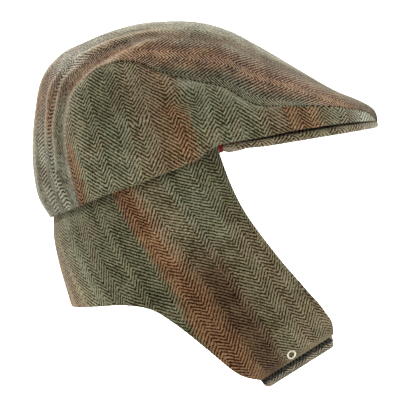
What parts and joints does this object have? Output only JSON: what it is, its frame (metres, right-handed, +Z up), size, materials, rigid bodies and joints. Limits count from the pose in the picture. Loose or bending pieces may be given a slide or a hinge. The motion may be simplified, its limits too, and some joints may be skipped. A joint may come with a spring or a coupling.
{
  "type": "flat cap with earflaps",
  "caption": "Soft tweed flat cap with a stiff peak and wide earflaps that wrap the nape and cheeks and snap together under the chin.",
  "frame": {"origin": "centre of the head opening, in the plane of the headband, which tilts up towards the front as it is worn", "axes": "+X is the front, where the peak points, +Y is the wearer's left, +Z is up, with the head upright"},
  "size_m": [0.2767, 0.188, 0.2947],
  "materials": {
    "tweed_crown": "herringbone wool tweed in green, tan and rust, napped",
    "tweed_flap": "herringbone wool tweed in green, olive and rust, napped",
    "tweed_peak": "herringbone wool tweed drawn over a stiffener",
    "lining_cloth": "dark red satin weave",
    "snap_metal": "polished nickel plate"
  },
  "bodies": {
    "root": {"crown_top_panel": "tweed_crown", "crown_side_right": "tweed_crown", "crown_side_left": "tweed_crown", "peak": "tweed_peak", "earflap_right": "tweed_flap", "earflap_left": "tweed_flap", "lining_front_right": "lining_cloth", "lining_front_left": "lining_cloth", "lining_back_right": "lining_cloth", "lining_back_left": "lining_cloth", "snap_ring": "snap_metal", "snap_stud": "snap_metal"}
  },
  "joints": []
}
